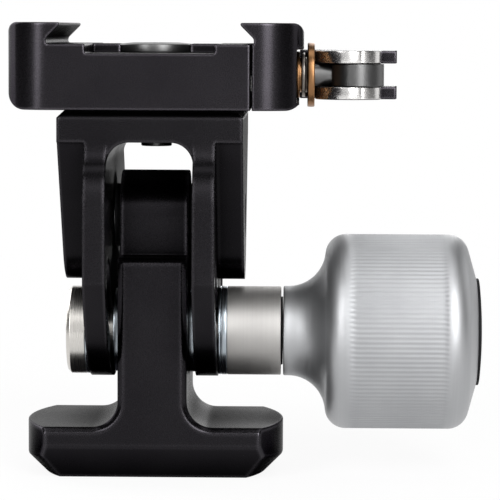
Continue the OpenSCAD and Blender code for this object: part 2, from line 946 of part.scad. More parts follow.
module clamp_body() {
    color(black)
        difference() {
            intersection() {
                along_y(clamp_l)
                    body_outline();
                translate([0, 0, clamp_z])
                    linear_extrude(clamp_h)
                        union() {
                            mirror([1, 0])
                                clamp_plan(fixed_end, body_corner_r);
                            translate([-eps, -clamp_l / 2])
                                square([body_face_x + eps, clamp_l]);
                        }
            }
            floor_pockets();
            translate([0, 0, clamp_z - cut])
                cylinder(r = clamp_screw_r + bolt_play, h = clamp_h);
            dowel_cuts(clamp_z);
            rod_x(stud_r + still_fit, body_face_x - stud_thread_l - free_gap, body_face_x + cut, stud_z);
            for (side = [-1, 1])
                translate([0, side * rod_span / 2, 0]) {
                    rod_x(rod_r + still_fit, body_face_x - rod_body_l - free_gap, body_face_x + cut, rod_z);
                    rod_x(spring_seat_r, body_face_x - spring_l, body_face_x + cut, rod_z);
                }
        }
}

module clamp_screw() {
    color(steel)
        difference() {
            union() {
                translate([0, 0, pocket_z])
                    cylinder(r = screw_head_r, h = screw_head_h);
                translate([0, 0, bar_z - screw_tip])
                    cylinder(r = clamp_screw_r, h = pocket_z - bar_z + screw_tip + eps);
            }
            translate([0, 0, pocket_z + screw_head_h])
                hex_socket(clamp_key);
        }
}

module clamp_dowels() {
    color(steel)
        for (side = [-1, 1])
            translate([0, side * dowel_span / 2, clamp_z - dowel_l])
                cylinder(r = dowel_r, h = 2 * dowel_l);
}

module guide_rods() {
    color(steel)
        for (side = [-1, 1])
            translate([0, side * rod_span / 2, 0])
                rod_x(rod_r, body_face_x - rod_body_l, parting_x + rod_jaw_l, rod_z);
}

// Ring of points around one place on a coil that winds about X
function coil_ring(r, wire, x, a) = [
    for (j = [0:coil_sides - 1])
        let (b = 360 * j / coil_sides, q = r + wire * cos(b))
        [x + wire * sin(b), q * cos(a), q * sin(a)]
];

// Wire wound about X from x0 to x1
module coil(r, wire, turns, x0, x1) {
    sides = coil_sides;
    steps = coil_steps * turns;
    pitch = (x1 - x0 - 2 * wire) / steps;
    points = [
        for (i = [0:steps])
            each coil_ring(r, wire, x0 + wire + pitch * i, 360 * turns * i / steps)
    ];
    walls = [
        for (i = [0:steps - 1], j = [0:sides - 1])
            let (k = (j + 1) % sides)
            each [
                [i * sides + j, (i + 1) * sides + j, i * sides + k],
                [i * sides + k, (i + 1) * sides + j, (i + 1) * sides + k]
            ]
    ];
    ends = [
        [for (j = [0:sides - 1]) j],
        [for (j = [sides - 1:-1:0]) steps * sides + j]
    ];
    polyhedron(points, concat(walls, ends));
}

module jaw_springs() {
    color(steel)
        for (side = [-1, 1])
            translate([0, side * rod_span / 2, rod_z])
                coil(spring_r, wire_r, spring_turns, body_face_x - spring_l, body_face_x);
}

// Stud with a thread at its left end, and at its right end flats and the eye for the cam pin
module draw_stud() {
    thread_x = body_face_x - stud_thread_l;
    flat_x = nest_x + jaw_flange_t;
    color(steel)
        difference() {
            union() {
                rod_x(stud_r, thread_x, flat_x, stud_z);
                intersection() {
                    rod_x(stud_r, thread_x, cam_pin_x, stud_z);
                    translate([thread_x, -stud_r, stud_z - eye_t / 2])
                        cube([cam_pin_x - thread_x, 2 * stud_r, eye_t]);
                }
                intersection() {
                    translate([cam_pin_x, 0, stud_z - eye_t / 2])
                        cylinder(r = eye_r, h = eye_t);
                    translate([eye_x, -eye_r, stud_z - eye_t])
                        cube([2 * eye_r, 2 * eye_r, 2 * eye_t]);
                }
            }
            translate([cam_pin_x, 0, stud_z - eye_t])
                cylinder(r = cam_pin_r + run_fit, h = 2 * eye_t);
        }
}

module moving_jaw() {
    nest_h = lever_h + 2 * free_gap;
    color(black)
        difference() {
            intersection() {
                along_y(clamp_l)
                    jaw_outline();
                translate([0, 0, clamp_z])
                    linear_extrude(clamp_h)
                        clamp_plan(jaw_end, jaw_corner_r);
            }
            translate([nest_x, -clamp_l, stud_z - nest_h / 2])
                cube([nest_depth + cut, 2 * clamp_l, nest_h]);
            rod_x(jaw_bush_r + still_fit, jaw_face_x - cut, jaw_end, stud_z);
            for (side = [-1, 1])
                translate([0, side * rod_span / 2, 0])
                    rod_x(rod_r + run_fit, jaw_face_x - cut, parting_x + rod_jaw_l + free_gap, rod_z);
        }
}

module jaw_bush() {
    bore = stud_r + run_fit;
    color(bronze)
        union() {
            ring_x(jaw_bush_r, bore, jaw_face_x, nest_x + eps, stud_z);
            ring_x(jaw_flange_r, bore, nest_x, nest_x + jaw_flange_t, stud_z);
            ring_x(neck_ring_r, bore, nest_x, nest_x + jaw_flange_t + neck_t, stud_z);
        }
}

module seat_ring() {
    bore = stud_r + run_fit;
    color(steel)
        union() {
            ring_x(seat_r, bore, seat_ring_x, seat_ring_x + seat_t, stud_z);
            ring_x(neck_ring_r, bore, seat_ring_x, seat_ring_x + seat_t + neck_t, stud_z);
        }
}

module bronze_washer() {
    color(bronze)
        ring_x(washer_r, stud_r + run_fit, washer_x, washer_x + washer_t, stud_z);
}

// Cam outline about its pin. Its reach to the left falls by the same amount for each degree that
// the lever opens, so the flat washer that it presses on moves at a constant rate.
function cam_curve() = [
    for (i = [0:cam_steps])
        let (a = lever_swing * i / cam_steps, reach = cam_r - cam_rate * a * PI / 180)
        [-reach * cos(a) - cam_rate * sin(a), -reach * sin(a) + cam_rate * cos(a)]
];

// Plan of one cam lobe with the fork's outer corner
module fork_plan() {
    polygon(concat(
        cam_curve(),
        [[0, -open_r], [0, web_y], [-cam_r, web_y]]
    ));
    circle(open_r);
    translate([0, fork_corner])
        square([fork_out, web_y - fork_corner + eps]);
}

// Plan of the handle: it runs beside the moving jaw and ends round
module handle_plan() {
    tip_r = handle_w / 2;
    mid_y = web_y + fork_out;
    polygon([
        [handle_x, web_y], [fork_out, web_y], [handle_x + handle_w, mid_y],
        [handle_x + handle_w, handle_l - tip_r], [handle_x, handle_l - tip_r]
    ]);
    translate([handle_x + tip_r, handle_l - tip_r])
        circle(tip_r);
}

module cam_lever() {
    clear_r = eye_r + free_gap;
    far = 2 * handle_l;
    color(black)
        translate([cam_pin_x, 0, stud_z])
            difference() {
                translate([0, 0, -lever_h / 2])
                    linear_extrude(lever_h)
                        union() {
                            fork_plan();
                            handle_plan();
                        }
                translate([-far, -far, -fork_gap / 2])
                    cube([2 * far, far + clear_r, fork_gap]);
                translate([open_r, -far, -fork_gap / 2])
                    cube([far, 2 * far, fork_gap]);
                translate([0, 0, -lever_h])
                    cylinder(r = cam_pin_r + still_fit, h = 2 * lever_h);
            }
}

module cam_pin() {
    color(steel)
        translate([cam_pin_x, 0, stud_z - lever_h / 2])
            cylinder(r = cam_pin_r, h = lever_h);
}

base_column();
thread_insert();
pivot_bush_left();
pivot_bush_right();
clamp_bolt();
cap_washer();
friction_washer_left();
friction_washer_right();
thrust_ring();
thrust_washer();
spacer_sleeve();
slip_washer();
stop_washer();
stop_screw();
lock_knob();
knob_insert();
knob_end_cap();
yoke();
pivot_pin();
pivot_screws();
clamp_body();
clamp_screw();
clamp_dowels();
guide_rods();
jaw_springs();
draw_stud();
moving_jaw();
jaw_bush();
seat_ring();
bronze_washer();
cam_lever();
cam_pin();
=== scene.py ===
"""Looks of a single-axis tilting monopod head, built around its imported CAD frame."""
import cmath
import json
import math

import bmesh
import bpy
from mathutils import Euler, Matrix, Quaternion, Vector


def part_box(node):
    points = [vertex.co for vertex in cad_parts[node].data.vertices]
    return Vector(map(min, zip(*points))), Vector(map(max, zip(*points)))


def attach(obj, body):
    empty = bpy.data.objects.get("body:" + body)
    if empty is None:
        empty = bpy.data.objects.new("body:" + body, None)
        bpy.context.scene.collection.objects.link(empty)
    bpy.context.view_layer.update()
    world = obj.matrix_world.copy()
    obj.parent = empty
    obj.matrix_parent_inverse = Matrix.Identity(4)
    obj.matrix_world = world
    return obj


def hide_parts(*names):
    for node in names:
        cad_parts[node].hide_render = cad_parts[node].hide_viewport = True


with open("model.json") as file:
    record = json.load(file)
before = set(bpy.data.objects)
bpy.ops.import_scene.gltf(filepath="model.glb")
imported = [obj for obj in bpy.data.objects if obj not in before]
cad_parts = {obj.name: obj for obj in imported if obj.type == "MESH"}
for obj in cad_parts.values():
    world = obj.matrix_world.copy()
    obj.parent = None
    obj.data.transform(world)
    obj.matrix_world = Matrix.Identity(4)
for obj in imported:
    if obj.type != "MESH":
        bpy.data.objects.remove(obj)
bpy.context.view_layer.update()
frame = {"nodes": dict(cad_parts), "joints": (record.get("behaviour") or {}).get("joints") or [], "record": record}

MM = 0.001
NODES = frame["nodes"]
BODIES = frame["record"]["behaviour"]["bodies"]
BODY_OF = {node: body for body, members in BODIES.items() for node in members}
JOINTS = {joint["name"]: joint for joint in frame["joints"]}
BOLT_Z = JOINTS["knob_turn"]["pos_m"][2]
PIVOT_Z = JOINTS["head_tilt"]["pos_m"][2]
STUD_Z = JOINTS["lever_swing"]["pos_m"][2]
CAM_PIN_X = JOINTS["lever_swing"]["pos_m"][0]

# Turned shapes
ROUND_SIDES = 128
CORNER_STEPS = 4
CORNER_SHARE = 0.45              # most of a profile's side that a rounded corner takes
STRAIGHT = math.radians(85)      # half angle past which a corner counts as straight
SAME_SIZE = 0.1 * MM             # sizes read from a mesh that differ by less are one size

# Edges of the CAD pieces
SHARP = math.radians(20)
FLAT = math.radians(0.1)
WELD_REACH = 0.002 * MM
BEVEL_STEPS = 3
NO_BEVEL = 0
BLOCK_EDGE = 0.3 * MM
LEVER_EDGE = 0.25 * MM
WASHER_EDGE = 0.25 * MM
STEEL_EDGE = 0.15 * MM
BUSH_EDGE = 0.1 * MM
SLIP_EDGE = 0.08 * MM

# Knob
KNURL_GROOVES = 126
GROOVE_SIDES = 6
KNURL_DEPTH = 0.08 * MM
KNURL_FADE = 1.4 * MM            # length over which the knurl reaches its depth
KNURL_LEAD = 0.2                 # share of that length that the grip's end stays smooth
FADE_RINGS = 6                   # rings of points in that length
GRIP_RINGS = 8                   # rings of points at each end of the grip
KNOB_EDGE = 0.3 * MM
KNOB_WALL = 0.5 * MM             # the knob's bores lie at least this far inside its hub
KNOB_DIGITS = 6                  # the knob's points are read to a thousandth of a millimetre
KNOB_HAIR = 0.01 * MM            # play for rounding where the outer outline is picked out

# Screw in the groove, its socket and dome as shares of the head's radius and rise
SCREW_SIDES = 120
SCREW_RISE = 1.95 * MM
SOCKET_R = 0.4
SOCKET_DEPTH = 0.7
DOME_R = 0.6
DOME_DROP = 0.3 * MM
SCREW_EDGE = 0.25 * MM

# Bare walls of the lever's cam, measured from the cam pin
CAM_RIGHT = 5 * MM
CAM_BEHIND = 1 * MM
UPRIGHT = 0.1

# Patterns: scale per metre and detail of a noise, strength and height of a bump
CLOUD = (70, 3)
GRAIN = (5200, 2)
TURNING = (4200, 3)
TARNISH = (110, 2)
GRAIN_BUMP = (0.25, 0.012 * MM)
TURNING_BUMP = (0.2, 0.01 * MM)
NOISE_RANGE = (0.3, 0.7)         # part of a noise's range that is spread out

# Gaps, which are dulled, and outer edges, which get a painted highlight, found by how open a surface is, from 0
# for shut to 1 for open
LOOK_RAYS = 8                    # rays for each look at a surface's surroundings
GAP_OPEN = (0.15, 0.5)
GAP_ROUGH = 0.9
EDGE_OPEN = (0.78, 0.97)

# Black anodised metal
BLACK_ROUGH = (0.23, 0.31)
BLACK_GLANCE = (0.44, 0.48)      # reflection at a glancing angle
# within the reach below, other surfaces dull the black metal and paint shade on its glancing reflection
BLACK_REACH = 12 * MM            # how far off another surface still dulls it

# Silver of the knob
SILVER_DARK = (0.33, 0.335, 0.345)
SILVER_LIGHT = (0.36, 0.365, 0.375)
# smooth ends: lighter than the grip, partly their own finish and partly a painted highlight on the knob's
# shoulders
SILVER_SMOOTH_LIT = (0.40, 0.405, 0.415)
SILVER_ROUGH = (0.45, 0.52)
GRIP_STRETCH = 0.87              # how far the grip's sheen is drawn out round the knob

# Camera, with its lens and sensor in millimetres and its angles in degrees
LENS = 194.4
SENSOR = 36
CAMERA_AT = (28.2 * MM, -529 * MM, 86.5 * MM)
CAMERA_DOWN = 4.66
CAMERA_LEFT = 1.06
CAMERA_ROLL = 0.25
CLIP = (0.01, 100)

# Softboxes: place, width and height, and radiance
LAMP_AIM = (0.018, 0, 0.045)
LAMPS = {
    "left_box": ((-0.335, -0.50, 0.34), (0.17, 0.66), 7.5),
    "right_box": ((0.25, -0.56, 0.34), (0.26, 0.66), 8.5),
    "left_strip": ((-0.52, 0.33, 0.27), (0.36, 0.5), 4.0),
    "right_strip": ((0.60, 0.26, 0.27), (0.42, 0.5), 1.2),
    "left_back": ((-0.34, 0.52, 0.34), (0.2, 0.6), 2.0),
    "right_back": ((0.12, 0.62, 0.34), (0.2, 0.6), 2.0),
    "top_strip": ((0.018, -0.04, 0.62), (0.5, 0.26), 2.0),
    "front_strip": ((0.018, -0.50, 0.40), (0.5, 0.14), 0.8),
}

# Light of the studio, from straight in front (0) to straight behind (1)
STUDIO = [(0.0, 0.85), (0.1, 0.7), (0.26, 0.05), (0.72, 0.05), (0.92, 0.4), (0.97, 1.0)]
WHITE = (1, 1, 1)

# Floor
FLOOR_HALF = 4
FLOOR_TONE = 0.8
FLOOR_ROUGH = 0.9
FLOOR_GLOW = 1
FRONT_FADE = (-0.16, -0.04)      # Y between which the glow comes up in metal
NEAR_FADE = (0.08, 0.3)          # distance over which the glow in metal falls
FAR_SHARE = 0.2                  # to this share
SHADOW_FADE = (0.07, 0.5)        # distance over which the floor's own light and shadow fade out
SHADOW_GLOW = 0.9                # share of the glow where they show most


# Shapes

def turned_size(node):
    """Ends along X, bore radius, rim radius and axis height of a node that is turned about X."""
    low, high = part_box(node)
    axis_z = (low.z + high.z) / 2
    radii = [math.hypot(v.co.y, v.co.z - axis_z) for v in NODES[node].data.vertices]
    return low.x, high.x, min(radii), max(radii), axis_z


def rounded(points, radius):
    """Rounds the corners of a profile of (x, r) points, leaving points on the axis as they are."""
    out = []
    for i, corner in enumerate(points):
        here = complex(*corner)
        back = complex(*points[i - 1]) - here
        on = complex(*points[(i + 1) % len(points)]) - here
        half = abs(cmath.phase(on / back)) / 2 if corner[1] > 0 else math.pi / 2
        if half > STRAIGHT:
            out.append(corner)
            continue
        reach = min(radius / math.tan(half), CORNER_SHARE * abs(back), CORNER_SHARE * abs(on))
        back, on = back / abs(back), on / abs(on)
        centre = here + (back + on) / abs(back + on) * reach / math.cos(half)
        start, end = here + back * reach - centre, here + on * reach - centre
        sweep = cmath.phase(end / start)
        for k in range(CORNER_STEPS + 1):
            p = centre + start * cmath.exp(1j * sweep * k / CORNER_STEPS)
            out.append((p.real, p.imag))
    return out


def same_radius(x, r, turn):
    """Radius of a plain round, which is the profile's own at every turn."""
    return r


def lathe(name, profile, axis_z, sides=ROUND_SIDES, radius_at=same_radius):
    """Turns a profile of (x, r) points about X. Points on the axis close it, otherwise it is a ring."""
    bm = bmesh.new()
    rows = []
    for x, r in profile:
        if r <= 0:
            rows.append([bm.verts.new((x, 0, axis_z))] * sides)
            continue
        row = []
        for k in range(sides):
            turn = 2 * math.pi * k / sides
            q = radius_at(x, r, turn)
            row.append(bm.verts.new((x, q * math.cos(turn), axis_z + q * math.sin(turn))))
        rows.append(row)
    on_axis = profile[0][1] <= 0
    for i in range(len(rows) - (1 if on_axis else 0)):
        low, high = rows[i], rows[(i + 1) % len(rows)]
        for k in range(sides):
            n = (k + 1) % sides
            corners = list(dict.fromkeys((low[k], low[n], high[n], high[k])))
            if len(corners) > 2:
                bm.faces.new(corners)
    bmesh.ops.recalc_face_normals(bm, faces=bm.faces)
    mesh = bpy.data.meshes.new(name)
    bm.to_mesh(mesh)
    bm.free()
    mesh.polygons.foreach_set("use_smooth", [True] * len(mesh.polygons))
    piece = bpy.data.objects.new(name, mesh)
    bpy.context.scene.collection.objects.link(piece)
    piece.modifiers.new("faces", "WEIGHTED_NORMAL").keep_sharp = True
    return piece


def stand_for(piece, node, material):
    """Puts a Blender piece in the place of a CAD node."""
    piece.data.materials.append(material)
    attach(piece, BODY_OF[node])
    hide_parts(node)


def ring(node, material, edge=STEEL_EDGE):
    """Fine ring with rounded edges in the place of a turned CAD ring."""
    x0, x1, bore, rim, axis_z = turned_size(node)
    profile = rounded([(x0, bore), (x0, rim), (x1, rim), (x1, bore)], edge)
    stand_for(lathe(node + "_turned", profile, axis_z), node, material)


def soften(node, material, width):
    """Gives a CAD node a material, and breaks its edges by a bevel, or leaves them sharp at width 0."""
    piece = NODES[node]
    mesh = piece.data
    for shading in ("custom_normal", "sharp_edge"):
        if shading in mesh.attributes:
            mesh.attributes.remove(mesh.attributes[shading])
    mesh.polygons.foreach_set("use_smooth", [True] * len(mesh.polygons))
    mesh.materials.clear()
    mesh.materials.append(material)
    piece.modifiers.new("weld", "WELD").merge_threshold = WELD_REACH
    flat = piece.modifiers.new("flat", "DECIMATE")
    flat.decimate_type = "DISSOLVE"
    flat.angle_limit = FLAT
    flat.delimit = {"MATERIAL"}
    if width > 0:
        bevel = piece.modifiers.new("bevel", "BEVEL")
        bevel.width = width
        bevel.segments = BEVEL_STEPS
        bevel.limit_method = "ANGLE"
        bevel.angle_limit = SHARP
        bevel.use_clamp_overlap = False
        bevel.miter_outer = "MITER_ARC"
    else:
        piece.modifiers.new("edges", "EDGE_SPLIT").split_angle = SHARP
    piece.modifiers.new("faces", "WEIGHTED_NORMAL").keep_sharp = True


# Material nodes

def material_of(name, **sockets):
    """A material with a Principled shader whose plain values are set on its own sockets."""
    material = bpy.data.materials.new(name)
    material.use_nodes = True
    shader = material.node_tree.nodes["Principled BSDF"]
    for socket, value in sockets.items():
        shader.inputs[socket.replace("_", " ")].default_value = value
    return material, material.node_tree, shader


def grey(level):
    """A neutral colour."""
    return (level, level, level)


def place(tree):
    """Coordinates that stay with the piece, in metres."""
    return tree.nodes.new("ShaderNodeTexCoord").outputs["Object"]


def parts_of(tree, vector):
    """The X, Y and Z of a vector."""
    node = tree.nodes.new("ShaderNodeSeparateXYZ")
    tree.links.new(vector, node.inputs[0])
    return node.outputs


def length_of(tree, vector):
    """The length of a vector."""
    node = tree.nodes.new("ShaderNodeVectorMath")
    node.operation = "LENGTH"
    tree.links.new(vector, node.inputs[0])
    return node.outputs["Value"]


def turned_place(tree, axis_z):
    """Distance along X and distance from the axis at the height axis_z, for turning marks."""
    here = parts_of(tree, place(tree))
    rise = tree.nodes.new("ShaderNodeMath")
    rise.operation = "SUBTRACT"
    tree.links.new(here["Z"], rise.inputs[0])
    rise.inputs[1].default_value = axis_z
    across = tree.nodes.new("ShaderNodeCombineXYZ")
    tree.links.new(here["Y"], across.inputs["Y"])
    tree.links.new(rise.outputs[0], across.inputs["Z"])
    both = tree.nodes.new("ShaderNodeCombineXYZ")
    tree.links.new(here["X"], both.inputs["X"])
    tree.links.new(length_of(tree, across.outputs[0]), both.inputs["Y"])
    return both.outputs[0]


def noise(tree, vector, scale, detail):
    """Random value between 0 and 1 that changes over the surface."""
    node = tree.nodes.new("ShaderNodeTexNoise")
    node.inputs["Scale"].default_value = scale
    node.inputs["Detail"].default_value = detail
    tree.links.new(vector, node.inputs["Vector"])
    return node.outputs["Fac"]


def ramp_along(tree, value, start, end, low, high, kind="SMOOTHSTEP"):
    """Runs from low to high while a value goes from start to end, smoothly unless kind says otherwise."""
    node = tree.nodes.new("ShaderNodeMapRange")
    node.interpolation_type = kind
    for socket, number in zip(("From Min", "From Max", "To Min", "To Max"), (start, end, low, high)):
        node.inputs[socket].default_value = number
    tree.links.new(value, node.inputs["Value"])
    return node.outputs["Result"]


def spread(tree, value, low, high):
    """Spreads a noise value over a range."""
    return ramp_along(tree, value, *NOISE_RANGE, low, high, "LINEAR")


def combine(tree, operation, first, second):
    """Joins two values by an operation."""
    node = tree.nodes.new("ShaderNodeMath")
    node.operation = operation
    tree.links.new(first, node.inputs[0])
    tree.links.new(second, node.inputs[1])
    return node.outputs[0]


def blend(tree, value, dark, light):
    """Colour between dark and light by a noise value."""
    node = tree.nodes.new("ShaderNodeValToRGB")
    for stop, position, colour in zip(node.color_ramp.elements, NOISE_RANGE, (dark, light)):
        stop.position = position
        stop.color = (*colour, 1)
    tree.links.new(value, node.inputs["Fac"])
    return node.outputs["Color"]


def turned_to(tree, colour, other, share):
    """Goes from a colour to another one by a share that changes over the surface."""
    mix = tree.nodes.new("ShaderNodeMixRGB")
    mix.inputs["Color2"].default_value = (*other, 1)
    tree.links.new(share, mix.inputs["Fac"])
    tree.links.new(colour, mix.inputs["Color1"])
    return mix.outputs["Color"]


def bump(tree, shader, height, strength, distance, edge=0):
    """Raises a pattern on the surface, whose edges may be rounded over by a radius."""
    node = tree.nodes.new("ShaderNodeBump")
    node.inputs["Strength"].default_value = strength
    node.inputs["Distance"].default_value = distance
    tree.links.new(height, node.inputs["Height"])
    tree.links.new(node.outputs["Normal"], shader.inputs["Normal"])
    if edge > 0:
        bevel = tree.nodes.new("ShaderNodeBevel")
        bevel.samples = LOOK_RAYS
        bevel.inputs["Radius"].default_value = edge
        tree.links.new(bevel.outputs["Normal"], node.inputs["Normal"])


def openness(tree, reach, inside=False):
    """Node for how open a surface is within a reach, in front of it or inside its own piece."""
    node = tree.nodes.new("ShaderNodeAmbientOcclusion")
    node.samples = LOOK_RAYS
    node.inside = inside
    node.only_local = inside
    node.inputs["Distance"].default_value = reach
    return node


def painted_gap_shade(tree, colour, reach):
    """Painted shade: darkens a colour where other surfaces stand close in front of it, as the shade they cast
    there.
    """
    near = openness(tree, reach)
    tree.links.new(colour, near.inputs["Color"])
    return near.outputs["Color"]


def dusty(tree, rough, reach):
    """Makes a surface dull where another one stands close in front of it."""
    dull = ramp_along(tree, openness(tree, reach).outputs["AO"], *GAP_OPEN, GAP_ROUGH, 0)
    return combine(tree, "MAXIMUM", rough, dull)


def painted_edge_highlight(tree, colour, highlight_tone, reach):
    """Painted highlight: turns a colour to a lighter one along outer edges, where the piece is thin behind the
    surface, as light caught by the edges.
    """
    thin = ramp_along(tree, openness(tree, reach, inside=True).outputs["AO"], *EDGE_OPEN, 1, 0)
    return turned_to(tree, colour, highlight_tone, thin)


# Materials

def blasted(name, dark, light, rough, **sockets):
    """Bead-blasted metal or moulded plastic: fine grain with faint cloudy patches."""
    material, tree, shader = material_of(name, **sockets)
    where = place(tree)
    cloud = noise(tree, where, *CLOUD)
    grain = noise(tree, where, *GRAIN)
    tree.links.new(blend(tree, cloud, dark, light), shader.inputs["Base Color"])
    tree.links.new(spread(tree, grain, *rough), shader.inputs["Roughness"])
    bump(tree, shader, grain, *GRAIN_BUMP)
    return material


def black_anodised(name, dark, light, highlight_factor, rim, edge, shade_reach):
    """Satin black anodised aluminium.

    Its edges are rounded over by the radius edge, and lighter by the highlight factor over a width of about rim: a
    painted highlight along the edges.
    It is darker where another surface stands closer than the shade reach: painted shade in the gaps.
    """
    material, tree, shader = material_of(name, Metallic=1.0)
    where = place(tree)
    cloud = noise(tree, where, *CLOUD)
    grain = noise(tree, where, *GRAIN)
    # painted shade: the tone darkens where other surfaces stand close
    tone = painted_gap_shade(tree, blend(tree, cloud, dark, light), shade_reach)
    # painted highlight: the tone lightens along outer edges
    tone = painted_edge_highlight(tree, tone, [highlight_factor * level for level in light], rim)
    # painted shade: the glancing reflection darkens near other surfaces
    glance = painted_gap_shade(tree, blend(tree, cloud, *map(grey, BLACK_GLANCE)), BLACK_REACH)
    rough = dusty(tree, spread(tree, grain, *BLACK_ROUGH), BLACK_REACH)
    tree.links.new(tone, shader.inputs["Base Color"])
    tree.links.new(glance, shader.inputs["Specular Tint"])
    tree.links.new(rough, shader.inputs["Roughness"])
    bump(tree, shader, grain, *GRAIN_BUMP, edge)
    return material


def turned(name, axis_z, dark, light, rough):
    """Turned metal: fine marks round the axis, with a little change of tone."""
    material, tree, shader = material_of(name, Metallic=1.0)
    marks = noise(tree, turned_place(tree, axis_z), *TURNING)
    tarnish = noise(tree, place(tree), *TARNISH)
    tree.links.new(blend(tree, tarnish, dark, light), shader.inputs["Base Color"])
    tree.links.new(spread(tree, marks, *rough), shader.inputs["Roughness"])
    bump(tree, shader, marks, *TURNING_BUMP)
    return material


def smooth_ends(tree):
    """1 on the knob's smooth ends and 0 on its grip, with a soft change between them."""
    x = parts_of(tree, place(tree))["X"]
    low, high = grip_ends(knob_outlines()[0])
    left = ramp_along(tree, x, low - KNURL_FADE, low + KNURL_FADE, 1, 0)
    right = ramp_along(tree, x, high - KNURL_FADE, high + KNURL_FADE, 0, 1)
    return combine(tree, "MAXIMUM", left, right)


def knurled_silver(name):
    """Silver anodised metal: even sheen on smooth ends, and on the grip one drawn out round the X axis."""
    material = turned(name, BOLT_Z, SILVER_DARK, SILVER_LIGHT, SILVER_ROUGH)
    tree = material.node_tree
    shader = tree.nodes["Principled BSDF"]
    round_axis = tree.nodes.new("ShaderNodeTangent")
    round_axis.direction_type = "RADIAL"
    round_axis.axis = "X"
    tree.links.new(round_axis.outputs["Tangent"], shader.inputs["Tangent"])
    smooth = smooth_ends(tree)
    grip_tone = shader.inputs["Base Color"].links[0].from_socket
    # the smooth ends' lighter tone is partly a painted highlight on the knob's shoulders
    tree.links.new(turned_to(tree, grip_tone, SILVER_SMOOTH_LIT, smooth), shader.inputs["Base Color"])
    tree.links.new(ramp_along(tree, smooth, 0, 1, GRIP_STRETCH, 0), shader.inputs["Anisotropic"])
    return material


def make_materials():
    """Every finish of the object by a short name, with its dark and light tone and its roughness. The black finish
    comes in three copies whose tones are painted light and shade.
    """
    return {
        # one black finish in three copies: painted light on the clamp, painted shade on the yoke and more on the
        # base; each also paints highlights along edges and shade in gaps
        "base": black_anodised("black_anodised_base_shaded", (0.0135, 0.0125, 0.0145), (0.017, 0.016, 0.018),
                               highlight_factor=3.6, rim=1.0 * MM, edge=0.5 * MM, shade_reach=7 * MM),
        "clamp": black_anodised("black_anodised_clamp_lit", (0.021, 0.0195, 0.0225), (0.027, 0.025, 0.0285),
                                highlight_factor=2.2, rim=0.6 * MM, edge=0.5 * MM, shade_reach=30 * MM),
        "yoke": black_anodised("black_anodised_yoke_shaded", (0.015, 0.014, 0.016), (0.019, 0.018, 0.020),
                               highlight_factor=1.8, rim=0.6 * MM, edge=1.1 * MM, shade_reach=30 * MM),
        "knob": knurled_silver("silver_anodised"),
        "sleeve": turned("sleeve_steel", BOLT_Z, (0.37, 0.36, 0.35), (0.41, 0.40, 0.39), (0.48, 0.58)),
        "cap": turned("steel_cap", BOLT_Z, (0.56, 0.54, 0.51), (0.62, 0.60, 0.57), (0.24, 0.34)),
        "washer": turned("washer_steel", BOLT_Z, (0.36, 0.40, 0.44), (0.44, 0.48, 0.52), (0.2, 0.32)),
        "steel": turned("steel", PIVOT_Z, grey(0.48), grey(0.56), (0.22, 0.34)),
        "ring": turned("ring_steel", STUD_Z, (0.20, 0.18, 0.16), (0.26, 0.24, 0.22), (0.3, 0.4)),
        "dark": blasted("dark_steel", grey(0.10), grey(0.14), (0.3, 0.42), Metallic=1.0),
        "cam": blasted("cam_polish", (0.56, 0.55, 0.54), (0.64, 0.63, 0.62), (0.22, 0.3), Metallic=1.0),
        "bronze": turned("bronze", STUD_Z, (0.23, 0.115, 0.05), (0.28, 0.15, 0.07), (0.26, 0.38)),
        "plastic": blasted("black_plastic", (0.006, 0.006, 0.007), (0.009, 0.009, 0.010), (0.65, 0.8),
                           Specular_IOR_Level=0.15),
    }


# Pieces

def knob_outlines():
    """Outer and inner outlines of the knob as (x, r) points, read from its CAD mesh."""
    points = {(round(v.co.x, KNOB_DIGITS), round(math.hypot(v.co.y, v.co.z - BOLT_Z), KNOB_DIGITS))
              for v in NODES["lock_knob"].data.vertices}
    rims = {}
    for x, r in points:
        rims[x] = max(r, rims.get(x, 0))
    hub_r = rims[min(rims)]
    outer = sorted((x, r) for x, r in rims.items() if r > hub_r - KNOB_HAIR)
    inner = sorted((x, r) for x, r in points if r < hub_r - KNOB_WALL)
    return outer, inner


def grip_start(outer):
    """Place in the knob's outline where its straight grip starts, which is its longest step."""
    return max(range(len(outer) - 1), key=lambda i: outer[i + 1][0] - outer[i][0])


def grip_ends(outer):
    """Both ends of the grip along X."""
    start = grip_start(outer)
    return outer[start][0], outer[start + 1][0]


def knob(material):
    """Knob with a fine knurl that fades out at both ends of the grip."""
    outer, inner = knob_outlines()
    start = grip_start(outer)
    low, high = grip_ends(outer)
    rim = outer[start][1]
    steps = [KNURL_FADE * k / FADE_RINGS for k in range(1, GRIP_RINGS + 1)]
    grip = [(low + s, rim) for s in steps] + [(high - s, rim) for s in reversed(steps)]

    def knurled(x, r, turn):
        inside = min(x - low, high - x) / KNURL_FADE - KNURL_LEAD
        if r < rim - SAME_SIZE or inside <= 0:
            return r
        share = min(inside, 1)
        wave = (1 - math.cos(KNURL_GROOVES * turn)) / 2
        return r - KNURL_DEPTH * share * share * (3 - 2 * share) * wave

    profile = rounded(inner[::-1] + outer[:start + 1] + grip + outer[start + 1:], KNOB_EDGE)
    piece = lathe("lock_knob_turned", profile, BOLT_Z, GROOVE_SIDES * KNURL_GROOVES, knurled)
    stand_for(piece, "lock_knob", material)


def screw_size():
    """Tip and seat height, shank radius and head radius of the groove's screw."""
    spots = [(v.co.z, math.hypot(v.co.x, v.co.y)) for v in NODES["clamp_screw"].data.vertices]
    tip = min(z for z, r in spots)
    rim = max(r for z, r in spots)
    seat = min(z for z, r in spots if r > rim - SAME_SIZE)
    shank = max(r for z, r in spots if z < tip + SAME_SIZE)
    return tip, seat, shank, rim


